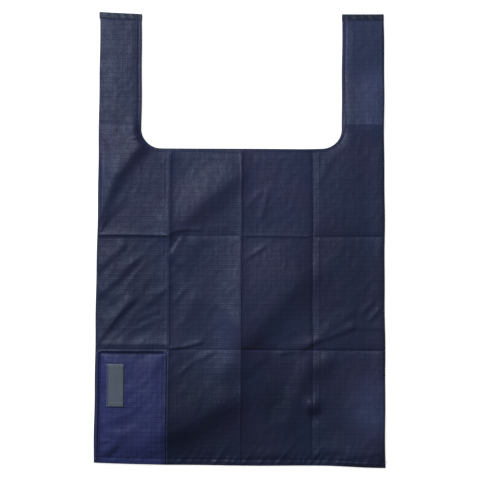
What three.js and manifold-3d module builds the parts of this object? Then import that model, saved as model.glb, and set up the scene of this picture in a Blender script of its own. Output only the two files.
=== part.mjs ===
// A reusable carrier bag of ripstop cloth with two vest handles, lying flat with its front up.
// Millimetres. X runs across the bag, Y from the bottom seam to the handles, and Z is up from the
// surface that the bag lies on. The origin is on that surface, under the middle of the bag.
import * as THREE from "three";
import { mergeVertices } from "three/addons/utils/BufferGeometryUtils.js";
import Module from "manifold-3d";

const wasm = await Module();
wasm.setup();

// The flat bag
const bagWidth = 380;
const bagLength = 602;
const gussetDepth = 87; // from a side fold to the gusset seam
const handleWidth = 55;
const neckDepth = 184; // from the handle tops to the lower edge of the neck
const neckCornerRadius = 27;

// The cloth and how its plies lie on each other
const clothThickness = 0.2;
const plyGap = 0.15; // air between two plies of one folded piece
const pieceGap = 0.3; // air between two pieces

// Seams and hems
const seamAllowance = 9; // turned in at the bottom seam and the handle tops
const gussetAllowance = 8; // beyond the gusset seam, inside the bag
const neckHemWidth = 5;
const turnClearance = 1; // between two turned strips that meet at a corner

// Creases from folding the bag small, four panels each way, and the loft between them
const creaseColumns = 4;
const creaseRows = 4;
const pillowHeight = 2.6;
const flatBorder = 10; // pressed flat along the seams and side folds
const neckFlatBorder = 8; // pressed flat beside the neck hem
const neckFade = 30; // over which the loft grows away from the neck

// The pocket that the bag packs into, at the lower left corner of the front
const pocketSideMargin = 3; // from the left side fold
const pocketCreaseMargin = 2.5; // from the first crease to the right
const pocketTopMargin = 1.5; // below the lowest cross crease
const pocketCornerRadius = 6;
const pocketHemWidth = 4;
const pocketFlatBorder = 7; // pressed flat inside the creases round the pocket
const pocketBottomMargin = 1; // its lower edge ends inside the bottom seam

// The woven label on the pocket
const labelWidth = 22;
const labelLength = 56;
const labelThickness = 0.35;
const labelSideOffset = 16; // from the left side fold
const labelTopOffset = 19.5; // below the lowest cross crease

// How finely curves and lofted cloth are divided
const foldArcSteps = 3; // for each half turn, doubled by the arc
const neckArcSteps = 10;
const pocketArcSteps = 5;
const columnSteps = 5;
const rowSteps = 7;

// Derived places
const halfWidth = bagWidth / 2;
const neckHalfWidth = halfWidth - handleWidth;
const neckBottom = bagLength - neckDepth;
const plyPitch = clothThickness + plyGap;
const hemRadius = (plyPitch + clothThickness) / 2;
const creaseX = Array.from(
  { length: creaseColumns + 1 },
  (_, i) => -halfWidth + (bagWidth * i) / creaseColumns,
);
const creaseY = Array.from({ length: creaseRows + 1 }, (_, i) => (bagLength * i) / creaseRows);

// Plies of one panel with its face up, each by the height of its underside
const ply = {
  gusset: 0,
  gussetTurn: plyPitch,
  faceTurn: 2 * plyPitch,
  face: 3 * plyPitch,
};
const panelHeight = ply.face + clothThickness;
const sideFoldRadius = panelHeight / 2;
const frontLevel = panelHeight + pieceGap;
const frontTop = frontLevel + panelHeight;
const pocketTurnLevel = frontTop + pieceGap;
const pocketLevel = pocketTurnLevel + plyPitch;
const labelLevel = pocketLevel + clothThickness + pieceGap;

// A closed mesh as a solid that can be joined and cut.
function solidOf(geometry) {
  geometry.deleteAttribute("normal");
  geometry.deleteAttribute("uv");
  const merged = mergeVertices(geometry, 1e-4);
  return new wasm.Manifold(
    new wasm.Mesh({
      numProp: 3,
      vertProperties: new Float32Array(merged.attributes.position.array),
      triVerts: new Uint32Array(merged.index.array),
    }),
  );
}

function geometryOf(solid) {
  const { numProp, vertProperties, triVerts } = solid.getMesh();
  const count = vertProperties.length / numProp;
  const positions = new Float32Array(count * 3);
  for (let i = 0; i < count; i++) {
    positions.set(vertProperties.subarray(i * numProp, i * numProp + 3), i * 3);
  }
  const geometry = new THREE.BufferGeometry();
  geometry.setAttribute("position", new THREE.BufferAttribute(positions, 3));
  geometry.setIndex(new THREE.BufferAttribute(new Uint32Array(triVerts), 1));
  geometry.computeVertexNormals();
  return geometry;
}

function prism(shape, bottom, height, curveSegments = 1) {
  const geometry = new THREE.ExtrudeGeometry(shape, {
    depth: height,
    bevelEnabled: false,
    curveSegments,
  });
  geometry.translate(0, 0, bottom);
  return solidOf(geometry);
}

function rectangle(x0, y0, x1, y1) {
  return new THREE.Shape()
    .moveTo(x0, y0)
    .lineTo(x1, y0)
    .lineTo(x1, y1)
    .lineTo(x0, y1);
}

// The section of a folded edge: two plies joined by a half turn that ends at the edge line.
// Its x is the distance into the cloth and its y the height. Each ply reaches its own way in.
function foldSection(lower, upper, lowerReach, upperReach) {
  const outer = (upper + clothThickness - lower) / 2;
  const inner = outer - clothThickness;
  const middle = lower + outer;
  return new THREE.Shape()
    .moveTo(upperReach, upper + clothThickness)
    .lineTo(outer, upper + clothThickness)
    .absarc(outer, middle, outer, Math.PI / 2, (3 * Math.PI) / 2, false)
    .lineTo(lowerReach, lower)
    .lineTo(lowerReach, lower + clothThickness)
    .lineTo(outer, lower + clothThickness)
    .absarc(outer, middle, inner, (3 * Math.PI) / 2, Math.PI / 2, true)
    .lineTo(upperReach, upper);
}

// Sweeps a section along an edge line. Each station is a point of the line with the direction into
// the cloth, which lies to the left of the way the line runs.
function sweepAlong(stations, section) {
  const contour = section.getPoints(foldArcSteps).filter((p, i, all) => {
    const before = all[(i + all.length - 1) % all.length];
    return p.distanceTo(before) > 1e-6;
  });
  const count = contour.length;
  const positions = [];
  for (const { at, inward } of stations) {
    for (const p of contour) {
      positions.push(at.x + inward.x * p.x, at.y + inward.y * p.x, p.y);
    }
  }
  const index = [];
  for (let s = 0; s + 1 < stations.length; s++) {
    for (let i = 0; i < count; i++) {
      const a = s * count + i;
      const b = s * count + ((i + 1) % count);
      index.push(a, b, b + count, a, b + count, a + count);
    }
  }
  const last = (stations.length - 1) * count;
  for (const [a, b, c] of THREE.ShapeUtils.triangulateShape(contour, [])) {
    index.push(c, b, a, last + a, last + b, last + c);
  }
  const geometry = new THREE.BufferGeometry();
  geometry.setAttribute("position", new THREE.Float32BufferAttribute(positions, 3));
  geometry.setIndex(index);
  return solidOf(geometry);
}

function station(x, y, inwardX, inwardY) {
  return { at: new THREE.Vector2(x, y), inward: new THREE.Vector2(inwardX, inwardY) };
}

// The same edge line on the other side of the bag, run so that the cloth stays on its left.
function mirrored(stations) {
  return stations
    .map(({ at, inward }) => station(-at.x, at.y, -inward.x, inward.y))
    .reverse();
}

// Stations round an arc, clockwise round a hollow corner and anticlockwise round a full one.
function arcStations(centreX, centreY, radius, from, to, steps, inwardSign) {
  return Array.from({ length: steps + 1 }, (_, i) => {
    const angle = from + ((to - from) * i) / steps;
    const x = Math.cos(angle);
    const y = Math.sin(angle);
    return station(
      centreX + radius * x,
      centreY + radius * y,
      inwardSign * x,
      inwardSign * y,
    );
  });
}

// The neck edge from the top of the right handle, down and round the corner, as far in as endX.
function rightNeckEdge(endX) {
  const centreX = neckHalfWidth - neckCornerRadius;
  const turn = Math.acos(THREE.MathUtils.clamp((endX - centreX) / neckCornerRadius, 0, 1));
  const edge = [
    station(neckHalfWidth, bagLength - seamAllowance - turnClearance, 1, 0),
    ...arcStations(
      centreX,
      neckBottom + neckCornerRadius,
      neckCornerRadius,
      0,
      -turn,
      neckArcSteps,
      1,
    ),
  ];
  if (endX < centreX) edge.push(station(endX, neckBottom, 0, -1));
  return edge;
}

// What the neck cuts out of every ply, short of the edge by the radius of its hem.
function neckOpening() {
  const half = neckHalfWidth + hemRadius;
  const bottom = neckBottom - hemRadius;
  const radius = neckCornerRadius + hemRadius;
  const shape = new THREE.Shape()
    .moveTo(-half, bagLength + 1)
    .lineTo(-half, bottom + radius)
    .absarc(-half + radius, bottom + radius, radius, Math.PI, 1.5 * Math.PI, false)
    .lineTo(half - radius, bottom)
    .absarc(half - radius, bottom + radius, radius, 1.5 * Math.PI, 2 * Math.PI, false)
    .lineTo(half, bagLength + 1);
  return prism(shape, -pieceGap, panelHeight + pillowHeight + 2 * pieceGap, neckArcSteps / 2);
}

// How far the cloth stands up at a point: a pillow between each pair of creases, pressed flat at
// the seams, beside the neck and round the pocket.
function pillowBounds(column, row) {
  const holdsPocket = column === 0 && row === 0;
  const inner = holdsPocket ? pocketFlatBorder : 0;
  return {
    x0: Math.max(creaseX[column], -halfWidth + flatBorder),
    x1: Math.min(creaseX[column + 1], halfWidth - flatBorder) - inner,
    y0: Math.max(creaseY[row], flatBorder),
    y1: Math.min(creaseY[row + 1], bagLength - flatBorder) - inner,
  };
}

function loftAt(x, y) {
  const column = Math.min(
    Math.floor(((x + halfWidth) * creaseColumns) / bagWidth),
    creaseColumns - 1,
  );
  const row = Math.min(Math.floor((y * creaseRows) / bagLength), creaseRows - 1);
  const { x0, x1, y0, y1 } = pillowBounds(column, row);
  const across = (x - x0) / (x1 - x0);
  const along = (y - y0) / (y1 - y0);
  if (across <= 0 || across >= 1 || along <= 0 || along >= 1) return 0;
  const fromNeck = Math.max(
    Math.abs(x) - neckHalfWidth - neckFlatBorder,
    neckBottom - neckFlatBorder - y,
  );
  const held = THREE.MathUtils.clamp(fromNeck / neckFade, 0, 1);
  return pillowHeight * held * Math.sin(Math.PI * across) * Math.sin(Math.PI * along);
}

// Lines of the cloth grid: every crease and every edge of a flat strip lies on one.
function gridLines(ends, bounds, steps, extra) {
  const lines = [...ends, ...extra];
  for (const [from, to] of bounds) {
    for (let i = 0; i <= steps; i++) {
      lines.push(from + ((to - from) * i) / steps);
    }
  }
  lines.sort((a, b) => a - b);
  return lines.filter((v, i) => i === 0 || v - lines[i - 1] > 0.5);
}

const columns = Array.from({ length: creaseColumns }, (_, i) => pillowBounds(i, 1));
const rows = Array.from({ length: creaseRows }, (_, i) => pillowBounds(1, i));
const gridX = gridLines(
  [-halfWidth + sideFoldRadius, halfWidth - sideFoldRadius],
  columns.map(({ x0, x1 }) => [x0, x1]),
  columnSteps,
  [
    creaseX[1] - pocketFlatBorder,
    -neckHalfWidth - neckFlatBorder,
    neckHalfWidth + neckFlatBorder,
  ],
);
const gridY = gridLines(
  [hemRadius, bagLength - hemRadius],
  rows.map(({ y0, y1 }) => [y0, y1]),
  rowSteps,
  [creaseY[1] - pocketFlatBorder, neckBottom - neckFlatBorder],
);

// One sheet of lofted cloth as large as the bag, to be cut to a piece's outline. Its two sides have
// the same lines and diagonals, and all such sheets share them, so that a sheet is equally thick and
// pieces that lie on each other keep the same gap all over.
function loftedSheet(level, thickness) {
  const nx = gridX.length;
  const ny = gridY.length;
  const positions = [thickness, 0].flatMap((above) =>
    gridY.flatMap((y) => gridX.flatMap((x) => [x, y, level + loftAt(x, y) + above])),
  );
  const under = nx * ny;
  const index = [];
  for (let row = 0; row + 1 < ny; row++) {
    for (let column = 0; column + 1 < nx; column++) {
      const a = row * nx + column;
      const b = a + 1;
      const c = b + nx;
      const d = a + nx;
      index.push(a, b, c, a, c, d);
      index.push(under + c, under + b, under + a, under + d, under + c, under + a);
    }
  }
  const across = gridX.slice(1).map((_, i) => i);
  const along = gridY.slice(1).map((_, j) => j);
  const rim = [
    ...across,
    ...along.map((j) => j * nx + nx - 1),
    ...across.map((i) => under - 1 - i),
    ...along.map((j) => (ny - 1 - j) * nx),
  ];
  rim.forEach((a, i) => {
    const b = rim[(i + 1) % rim.length];
    index.push(under + a, under + b, b, under + a, b, a);
  });
  const geometry = new THREE.BufferGeometry();
  geometry.setAttribute("position", new THREE.Float32BufferAttribute(positions, 3));
  geometry.setIndex(index);
  return solidOf(geometry);
}

// One body panel, face up: the face with a half gusset folded under it along each side, cut by the
// neck through both plies, its ends turned in and the neck hemmed.
function bodyPanel(faceSheet) {
  const gussetEdge = halfWidth - gussetDepth - gussetAllowance;
  const gussets = [-1, 1].map((side) => {
    const fold = side * (halfWidth - sideFoldRadius);
    const seam = side * gussetEdge;
    return prism(
      rectangle(
        Math.min(fold, seam),
        hemRadius,
        Math.max(fold, seam),
        bagLength - hemRadius,
      ),
      ply.gusset,
      clothThickness,
    );
  });
  let panel = faceSheet.add(gussets[0]).add(gussets[1]).subtract(neckOpening());

  const lap = hemRadius + turnClearance;
  const faceHem = (width) => foldSection(ply.faceTurn, ply.face, width, lap);
  const gussetHem = (width) => foldSection(ply.gusset, ply.gussetTurn, lap, width);
  const sideLap = sideFoldRadius + turnClearance;
  const sideFold = foldSection(ply.gusset, ply.face, sideLap, sideLap);
  const turnEnd = halfWidth - sideFoldRadius - turnClearance;
  const handleEnd = neckHalfWidth + hemRadius + turnClearance;
  const gussetEnd = gussetEdge + turnClearance;

  const rightSide = [station(halfWidth, 0, -1, 0), station(halfWidth, bagLength, -1, 0)];
  const rightTop = [
    station(turnEnd, bagLength, 0, -1),
    station(handleEnd, bagLength, 0, -1),
  ];
  const rightGussetBottom = [
    station(gussetEnd, 0, 0, 1),
    station(turnEnd, 0, 0, 1),
  ];
  const rightGussetNeck = rightNeckEdge(gussetEnd);
  const rightFaceNeck = rightNeckEdge(neckHalfWidth - neckCornerRadius);
  const folds = [
    sweepAlong([station(-turnEnd, 0, 0, 1), station(turnEnd, 0, 0, 1)], faceHem(seamAllowance)),
    sweepAlong([...rightFaceNeck, ...mirrored(rightFaceNeck)], faceHem(neckHemWidth)),
  ];
  for (const onItsSide of [(edge) => edge, mirrored]) {
    folds.push(sweepAlong(onItsSide(rightSide), sideFold));
    folds.push(sweepAlong(onItsSide(rightTop), faceHem(seamAllowance)));
    folds.push(sweepAlong(onItsSide(rightTop), gussetHem(seamAllowance)));
    folds.push(sweepAlong(onItsSide(rightGussetBottom), gussetHem(seamAllowance)));
    folds.push(sweepAlong(onItsSide(rightGussetNeck), gussetHem(neckHemWidth)));
  }
  for (const fold of folds) {
    panel = panel.add(fold);
  }
  return panel;
}

// The pocket patch, its sides and its rounded upper edge turned under.
function stowPocket() {
  const left = -halfWidth + pocketSideMargin;
  const right = creaseX[1] - pocketCreaseMargin;
  const top = creaseY[1] - pocketTopMargin;
  const radius = pocketCornerRadius;
  const inset = hemRadius;
  const outline = new THREE.Shape()
    .moveTo(left + inset, pocketBottomMargin)
    .lineTo(right - inset, pocketBottomMargin)
    .lineTo(right - inset, top - radius)
    .absarc(right - radius, top - radius, radius - inset, 0, Math.PI / 2, false)
    .lineTo(left + radius, top - inset)
    .absarc(left + radius, top - radius, radius - inset, Math.PI / 2, Math.PI, false);
  const cutter = prism(outline, frontTop, pillowHeight + 4 * plyPitch, pocketArcSteps);
  const edge = [
    station(right, pocketBottomMargin, -1, 0),
    ...arcStations(right - radius, top - radius, radius, 0, Math.PI / 2, pocketArcSteps * 2, -1),
    ...arcStations(
      left + radius,
      top - radius,
      radius,
      Math.PI / 2,
      Math.PI,
      pocketArcSteps * 2,
      -1,
    ),
    station(left, pocketBottomMargin, 1, 0),
  ];
  const turn = foldSection(
    pocketTurnLevel,
    pocketLevel,
    pocketHemWidth,
    hemRadius + turnClearance,
  );
  return loftedSheet(pocketLevel, clothThickness).intersect(cutter).add(sweepAlong(edge, turn));
}

function wovenLabel() {
  const left = -halfWidth + labelSideOffset;
  const top = creaseY[1] - labelTopOffset;
  const outline = rectangle(left, top - labelLength, left + labelWidth, top);
  const cutter = prism(outline, labelLevel - pieceGap, pillowHeight + 4 * plyPitch);
  return loftedSheet(labelLevel, labelThickness).intersect(cutter);
}

const bodyCloth = { color: 0x3d4260, roughness: 0.6, metalness: 0 };
const pocketCloth = { color: 0x2f3564, roughness: 0.6, metalness: 0 };
const labelWeave = { color: 0x59636d, roughness: 0.8, metalness: 0 };

function piece(name, solid, finish) {
  const mesh = new THREE.Mesh(geometryOf(solid), new THREE.MeshStandardMaterial(finish));
  mesh.name = name;
  return mesh;
}

const frontPanel = piece(
  "front_panel",
  bodyPanel(loftedSheet(ply.face, clothThickness)),
  bodyCloth,
);
frontPanel.position.z = frontLevel;

// The back is cut and folded like the front, turned over, and lies flat on the surface.
const flatFace = prism(
  rectangle(
    -halfWidth + sideFoldRadius,
    hemRadius,
    halfWidth - sideFoldRadius,
    bagLength - hemRadius,
  ),
  ply.face,
  clothThickness,
);
const backPanel = piece("back_panel", bodyPanel(flatFace), bodyCloth);
backPanel.rotation.y = Math.PI;
backPanel.position.z = panelHeight;

const bag = new THREE.Group();
bag.add(
  frontPanel,
  backPanel,
  piece("stow_pocket", stowPocket(), pocketCloth),
  piece("woven_label", wovenLabel(), labelWeave),
);
bag.position.y = -bagLength / 2;

export default bag;
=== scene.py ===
import math

import bmesh
import bpy
import numpy as np
from mathutils import Matrix, Vector, noise
from mathutils.geometry import delaunay_2d_cdt


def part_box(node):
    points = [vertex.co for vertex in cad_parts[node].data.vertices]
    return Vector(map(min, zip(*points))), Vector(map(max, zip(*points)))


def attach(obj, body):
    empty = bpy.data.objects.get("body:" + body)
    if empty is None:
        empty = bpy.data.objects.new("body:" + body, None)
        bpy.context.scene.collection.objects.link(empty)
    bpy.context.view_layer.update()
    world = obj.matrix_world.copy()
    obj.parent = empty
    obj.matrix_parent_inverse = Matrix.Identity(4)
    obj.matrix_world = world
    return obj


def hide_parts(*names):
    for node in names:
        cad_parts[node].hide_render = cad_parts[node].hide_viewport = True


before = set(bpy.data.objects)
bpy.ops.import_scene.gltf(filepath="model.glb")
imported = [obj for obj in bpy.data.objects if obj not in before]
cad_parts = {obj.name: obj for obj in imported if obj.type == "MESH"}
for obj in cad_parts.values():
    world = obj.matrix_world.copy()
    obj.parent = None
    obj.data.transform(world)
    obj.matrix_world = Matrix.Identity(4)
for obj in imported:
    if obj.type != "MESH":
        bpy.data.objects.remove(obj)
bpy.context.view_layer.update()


# Front panel: one piece of thin ripstop cloth. Its sides are folded under as half gussets, its neck
# is hemmed and its ends are turned in. It keeps the creases of a bag that is packed small, four
# fields each way, and the soft folds of having been shaken out and laid down.
MM = 0.001  # the pattern is drawn in millimetres, from the middle of the flat bag
front_low, front_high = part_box("front_panel")
half_width = front_high.x / MM
half_length = front_high.y / MM
handle_width = 55
neck_depth = 184
neck_radius = 27
gusset_depth = 87
seam_allowance = 9
gusset_allowance = 8
neck_hem = 5
bottom_stitch = 7.5  # each stitch line's distance from its edge
top_stitch = 8.4
neck_stitch = 4.4

cloth_half = 0.1
ply_distance = 1.05  # from the middle of the gusset's cloth to the middle of the face's
gusset_level = front_low.z / MM + cloth_half
face_level = gusset_level + ply_distance
side_fold_radius = ply_distance / 2
hem_radius = 0.22

neck_half = half_width - handle_width
neck_bottom = half_length - neck_depth
column = half_width / 2
row = half_length / 2


def eased(t):
    """From 0 to 1 with soft ends."""
    t = np.clip(t, 0, 1)
    return t * t * (3 - 2 * t)


def hump(distance, reach):
    """1 at no distance, falling away on both sides within about the reach."""
    return np.exp(-((distance / reach) ** 2))


def from_neck(x, y):
    """Distance from the neck edge, positive on the cloth."""
    over = np.abs(x) - (neck_half - neck_radius)
    down = neck_bottom + neck_radius - y
    corner = (over > 0) & (down > 0)
    return np.where(corner, np.hypot(over, down), np.maximum(over, down)) - neck_radius


def from_edge(x, y):
    """Distance inside the nearest edge. The right side's fold is crisp, so it counts as farther,
    and the neck's hem counts as nearer."""
    sides = np.where(x > 0, 3 * (half_width - x), half_width + x)
    ends = half_length - np.abs(y)
    return np.minimum(np.minimum(sides, ends), 0.5 * from_neck(x, y))


def laid_out(x, y):
    """Where a point of the pattern lies: sewing and handling pull the bag a little off square."""
    left_handle = eased((-x - 95) / 40)
    right_handle = eased((x - 95) / 40)
    near_top = eased((y - 275) / 26)
    across_left_handle = [-half_width, -neck_half]
    across_right_handle = [neck_half, half_width]

    # Sideways: both outer edges lie out, the left most of all beside the neck. The handles spread a
    # little into the neck, the top bands spread past their handles, and every edge wavers.
    outer_left = eased((-x - 110) / 80)
    neck_right = eased((x - 60) / 60) * eased((half_width - x) / 50)
    band = eased((y - half_length + top_stitch + 1) / 1.5)
    dx = 1.5 * left_handle * hump(y - 150, 75)
    dx -= outer_left * (1.4 + 1.4 * hump(y - 170, 75) + 0.5 * hump(y + 150, 60))
    dx -= 1.7 * neck_right * hump(y - 200, 95)
    dx += 0.4 * eased((x - 120) / 60)
    dx += band * left_handle * np.interp(x, across_left_handle, [-1.1, 0.5])
    dx += band * right_handle * np.interp(x, across_right_handle, [-0.3, 0.2])
    dx += 0.3 * np.sin(y / 31 + 0.6) + 0.2 * np.sin(y / 13)

    # Lengthways: the pocket's corner is drawn up and the other lower corner hangs down, the neck's
    # right corner is drawn up, and the handle tops are sewn a little askew.
    pocket_corner = np.clip(-x / column - 1, 0, 1) * np.clip(-y / row - 1, 0, 1)
    right_corner = eased((x - 105) / 80) * eased((-150 - y) / 150)
    dy = 2.5 * pocket_corner - 2.0 * right_corner
    dy += 1.1 * hump(x - 125, 28) * hump(y - 125, 40)
    dy += left_handle * near_top * np.interp(x, across_left_handle, [1.2, -1.2])
    dy += right_handle * near_top * np.interp(x, across_right_handle, [-0.3, 0.5])
    dy += 0.3 * np.sin(x / 27 + 1) * np.cos(y / 97)
    return x + dx, y + dy


def noise_field(u, v, seed):
    """Soft noise from -1 to 1, one value for each point."""
    return np.array([noise.noise(Vector((a, b, seed))) for a, b in zip(u, v)])


def crinkles(x, y, size, stretch, lean, seed):
    """Crisp little folds that run along the lean, in degrees, from about -1 to 1."""
    c, s = math.cos(math.radians(lean)), math.sin(math.radians(lean))
    u = (x * c + y * s) / (size * stretch)
    v = (y * c - x * s) / size
    return 1 - 4 * np.abs(noise_field(u, v, seed))


# The creases, each by the height of its fold line in every field, ridges up and valleys down. One
# side of a crease is steeper than the other, as the cloth was pressed.
crease_down = [  # x, left reach, right reach, heights from the top row to the bottom row
    (-column, 3.0, 7.0, (1.6, 2.1, 2.1, 1.9)),
    (0, 12.0, 10.0, (2.0, 2.4, 2.0, 1.4)),
    (column, 5.0, 2.4, (-1.1, -1.3, -1.3, -1.0)),
]
crease_across = [  # y, reach above, reach below, heights from the left column to the right column
    (row - 0.5, 6.0, 4.0, (-0.6, 0, 0, 0.6)),
    (0, 7.0, 2.2, (2.0, -0.7, 1.0, -1.4)),
    (-row, 4.0, 5.0, (-1.2, -0.5, -1.5, -1.6)),
    (6.5 - row, 7.0, 2.5, (1.0, 0, 0, 0)),
]
field_loft = [  # how far each field stands up, rows from the top
    (0.5, 0, 0, 0.5),
    (0.9, 0.8, 0.8, 0.9),
    (0.9, 0.6, 0.8, 1.0),
    (0.4, 0.6, 0.6, 0.9),
]
body_loft = 1.3


def crease_profile(distance, before, after):
    """A fold line with its flanks, and the sharp nip at the line itself."""
    flank_share, nip_share, nip_reach = 0.78, 0.3, 0.75
    reach = np.where(distance < 0, before, after)
    flanks = np.exp(-np.abs(distance) / reach)
    return flank_share * flanks + nip_share * np.exp(-np.abs(distance) / nip_reach)


def between_fields(along, field, heights):
    """A crease's height along its run, changing quickly where it passes another crease."""
    change = 7
    stops = [k * field + d for k in (-1, 0, 1) for d in (-change, change)]
    return np.interp(along, stops, [h for k in range(3) for h in (heights[k], heights[k + 1])])


def creases(x, y):
    """Height of all the creases together."""
    height = np.zeros_like(x)
    for at, left, right, heights in crease_down:
        profile = crease_profile(x - at, left, right)
        height += profile * between_fields(y, row, heights[::-1])
    for at, above, below, heights in crease_across:
        profile = crease_profile(at - y, above, below)
        height += profile * between_fields(x, column, heights)
    return height


def field_pillows(x, y):
    """Each field between the creases stands up in its middle."""
    height = np.zeros_like(x)
    for r, lofts in enumerate(field_loft):
        for c, loft in enumerate(lofts):
            u = np.clip((x + half_width) / column - c, 0, 1)
            v = np.clip((half_length - y) / row - r, 0, 1)
            height += loft * np.sin(np.pi * u) * np.sin(np.pi * v)
    return height


# Soft folds, each by its crest line, its height and its reach to the upper left and to the lower
# right.
soft_folds = [
    ([(-188, 30), (-168, 78), (-146, 110), (-127, 130)], 4.3, 26, 11),
    ([(-92, 8), (-55, 41), (-12, 78)], 3.3, 28, 16),
    ([(14, -124), (40, -96), (76, -56)], 4.9, 54, 22),
    ([(-24, -178), (10, -134)], 2.4, 24, 16),
    ([(-96, -256), (-60, -243), (-22, -218)], 5.0, 44, 19),
    ([(60, -244), (86, -172)], 1.6, 14, 12),
    ([(6, -178), (26, -162)], 1.1, 14, 8),
    ([(92, -180), (112, -164)], 0.9, 11, 10),
    ([(160, -300), (180, -288), (192, -262)], 3.4, 44, 10),
    ([(187, -260), (188, -205)], 2.0, 20, 3),
    ([(188, 150), (188, 196)], 2.6, 26, 3),
    ([(-95, -28), (-80, -6)], 1.6, 3, 14),
    ([(138, 152), (190, 152)], 2.0, 34, 14),
    ([(186, -180), (187, 110)], 1.3, 13, 3),
    ([(94, -141), (118, -132), (146, -121)], 1.2, 9, 3.2),
    ([(146, -121), (184, -121)], 0.5, 7, 2.6),
    ([(56, -153), (80, -149), (94, -141)], 1.2, 9, 3.6),
    ([(172, -109), (181, -99)], 0.8, 4, 2),
    ([(163, -98), (173, -88)], 0.7, 4, 2.4),
    ([(107, -126), (146, -101)], 0.8, 9, 6),
    ([(106, -53), (138, -9)], 0.7, 16, 12),
    ([(102, 73), (118, 100)], 0.45, 6, 5),
    ([(-91, -149), (-74, -147), (-55, -142)], 1.3, 4, 1.8),
    ([(-189, -46), (-158, -16)], 1.1, 9, 5),
    ([(-184, -77), (-162, -58), (-140, -34)], 1.2, 10, 5),
    ([(-186, -138), (-164, -110), (-144, -89)], 1.6, 10, 3.6),
    ([(-134, -110), (-111, -100)], 0.7, 6, 3.4),
    ([(-121, -88), (-99, -70)], 0.7, 8, 5),
    ([(-189, 4), (-185, 8), (-182, 15)], 1.1, 2.5, 1.8),
    ([(-93, 3), (-84, 7), (-70, 8.5), (-56, 8)], 0.8, 3, 1.5),
    ([(27, 26), (35, 56)], 0.5, 5, 3),
    ([(10, 41), (23, 56)], 0.45, 5, 3),
    ([(13, -27), (29, -16)], 0.7, 4, 2.2),
    ([(-180, 122), (-170, 143)], 0.5, 6, 5),
    ([(-161, 126), (-141, 145)], 0.5, 6, 5),
    ([(-180, 21), (-158, 48)], 0.7, 7, 5),
    ([(-143, 130), (-130, 135)], 0.9, 3, 1.6),
    ([(-77, -181), (-65, -169)], 0.5, 4, 2.4),
    ([(-54, -163), (-35, -153)], 0.55, 5, 3),
    ([(-84, -84), (-74, -70)], 0.6, 4, 2.6),
    ([(-76, -37), (-60, -4)], 1.2, 14, 12),
    ([(-91, -146), (-60, -84)], 1.0, 12, 12),
    ([(110, -180), (122, -152)], 0.6, 9, 9),
    ([(100, -286), (128, -281)], 1.0, 15, 3.4),
    ([(146, -287), (178, -282)], 0.9, 15, 3.4),
    ([(10, -288), (58, -286)], 0.7, 9, 3),
]


def soft_fold(x, y, crest, height, lit, shaded):
    """Height of one fold whose crest line runs from lower left to upper right."""
    end_reach = min(0.5 * lit + 3, 26)
    found = np.zeros_like(x)
    for (x0, y0), (x1, y1) in zip(crest, crest[1:]):
        length = math.hypot(x1 - x0, y1 - y0)
        along = ((x - x0) * (x1 - x0) + (y - y0) * (y1 - y0)) / length
        beside = ((x - x0) * (y1 - y0) - (y - y0) * (x1 - x0)) / length
        beyond = np.maximum(np.maximum(-along, along - length), 0)
        reach = np.where(beside > 0, shaded, lit)
        found = np.maximum(found, height * hump(beside, reach) * hump(beyond, end_reach))
    return found


def knob(x, y):
    """The small knob where the last crease was pinched, and the dent below it."""
    raised = 3.3 * hump(x - 95, 9) * hump(y + 221, 9)
    dent = 0.9 * hump(x - 97, 10) * hump(y + 238, 8)
    return raised - dent


def raised_lines(x, y):
    """The pocket's plies hold the front up, and so does the stiff middle crease beside it. The
    cloth to the right of each falls away."""
    beside_pocket = hump(np.maximum(x + column, 0), 40)
    along_pocket = eased((-126 - y) / 34) * eased((y + half_length) / 45)
    left_flank = np.interp(x, [-37, -29, 0], [0, 0.07, 1])
    right_flank = 0.5 * np.exp(-np.maximum(x, 0) / 14) + 0.5 * hump(x, 42)
    beside_middle = np.where(x < 0, left_flank, right_flank)
    stops = [-285, -245, -202, -168, -110, -60, 0]
    along_middle = np.interp(y, stops, [0, 2, 2.8, 4.0, 3.8, 2.7, 0])
    return 3.0 * along_pocket * beside_pocket + along_middle * beside_middle


# Sewing draws the thin cloth up into small puckers beside every seam. Those of the bottom seam are
# of random size, always the same ones.
pucker_count = 34
pucker_draw = np.random.default_rng(4)
pucker_at = np.cumsum(pucker_draw.uniform(5, 15, pucker_count)) - 185
pucker_rise = pucker_draw.uniform(0.4, 1.7, pucker_count)
pucker_width = pucker_draw.uniform(1.6, 4.2, pucker_count)
pucker_length = pucker_draw.uniform(4, 11, pucker_count)
pucker_lean = pucker_draw.uniform(0.1, 0.9, pucker_count)
bottom_puckers = list(zip(pucker_at, pucker_rise, pucker_width, pucker_length, pucker_lean))


def seam_puckers(x, y):
    """Leaning puckers that start at the bottom seam, lower where the pocket stiffens it."""
    height = np.zeros_like(x)
    from_seam = y + half_length - bottom_stitch
    beside_seam = 1 - 0.5 * hump(from_seam, 2)
    for at, rise, width, length, lean in bottom_puckers:
        strength = rise * (0.35 if at < -column else 1)
        fading = np.where(from_seam > 0, np.exp(-from_seam / length), np.exp(from_seam / 9))
        height += strength * beside_seam * fading * hump(x - at - lean * from_seam, width)
    return height


def band_puckers(x, y):
    """Fine puckers all over the handles' top bands, running out just below them."""
    from_top = half_length - top_stitch - y
    beside_band = np.where(from_top > 0, 0.4 * np.exp(-np.abs(from_top) / 3), 1)
    lean = x + 0.5 * y
    waves = np.sin(lean / 1.05) * np.sin(lean / 2.9 + 1) + 0.5 * np.sin(lean / 1.9)
    return 0.2 * beside_band * waves * (y > half_length - 25)


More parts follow.
